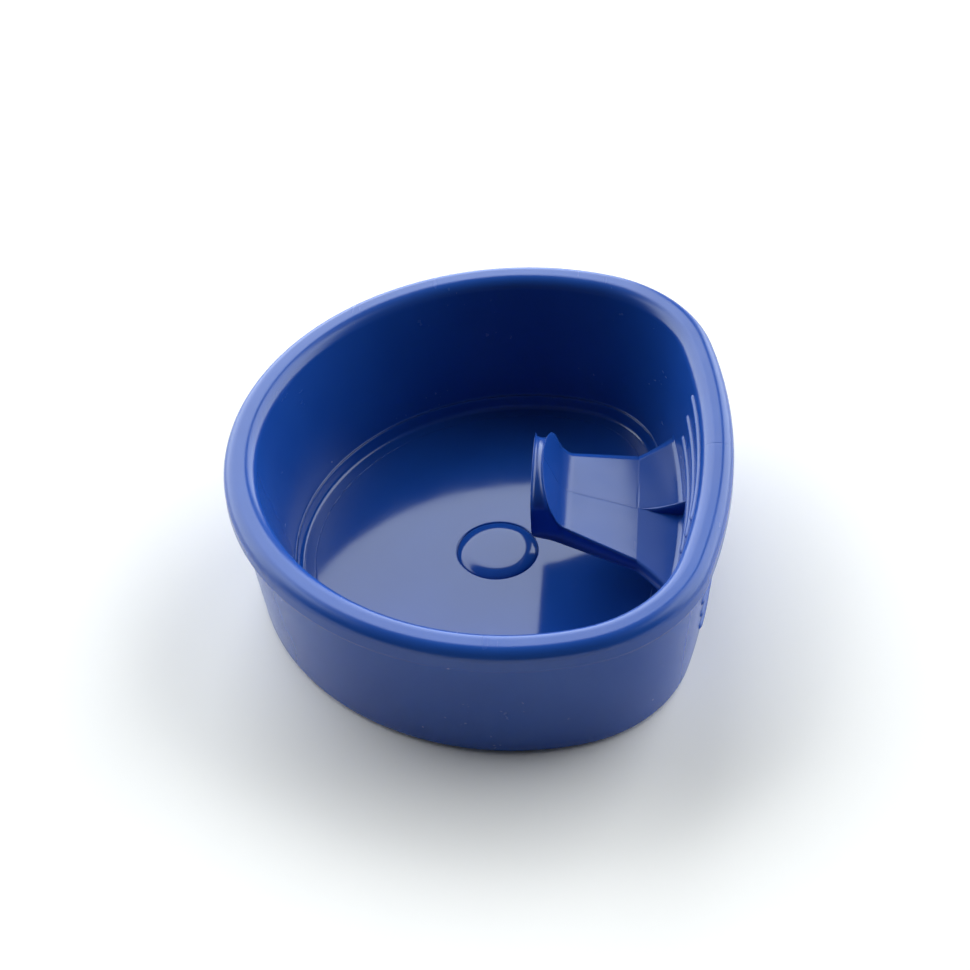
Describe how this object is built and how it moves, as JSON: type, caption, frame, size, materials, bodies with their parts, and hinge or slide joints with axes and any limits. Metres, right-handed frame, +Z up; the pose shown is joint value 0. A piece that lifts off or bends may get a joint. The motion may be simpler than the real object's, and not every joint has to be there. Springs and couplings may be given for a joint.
{
  "type": "folding camp cup",
  "caption": "Low D-shaped flexible bowl-like cup in its packed state, with a rounded rim bead, leaning wall, grip ribs and a curled thumb shelf folded inside.",
  "frame": {"origin": "on the table under the middle of the cup's length and width", "axes": "+X towards the flat grip side and the handle's root, +Y across the cup, +Z up out of the bowl"},
  "size_m": [0.0872, 0.1, 0.0279],
  "materials": {
    "blue_elastomer": "satin gloss thermoplastic elastomer"
  },
  "bodies": {
    "cup_shell": {"rim_bead": "blue_elastomer", "grip_wall": "blue_elastomer", "left_corner_wall": "blue_elastomer", "right_corner_wall": "blue_elastomer", "round_wall": "blue_elastomer", "foot_ring": "blue_elastomer", "fold_ring": "blue_elastomer", "inner_rib_low": "blue_elastomer", "inner_rib_middle": "blue_elastomer", "inner_rib_top": "blue_elastomer", "outer_rib_low": "blue_elastomer", "outer_rib_middle": "blue_elastomer", "outer_rib_top": "blue_elastomer", "hinge_web": "blue_elastomer", "gusset_rib": "blue_elastomer"},
    "floor": {"floor_panel": "blue_elastomer", "gate_button": "blue_elastomer"},
    "handle": {"handle_saddle": "blue_elastomer", "handle_lip": "blue_elastomer"}
  },
  "joints": [
    {"name": "handle_flex", "type": "hinge", "parent": "cup_shell", "child": "handle", "pos_m": [0.0272, 0, 0.0115], "axis": [0, 1, 0], "range_deg": [-20, 25], "stiffness_Nm_per_rad": 0.11},
    {"name": "floor_push", "type": "slide", "parent": "cup_shell", "child": "floor", "axis": [0, 0, 1], "range_m": [0, 0.006], "stiffness_N_per_m": 900, "deforming": ["fold_ring"]}
  ]
}
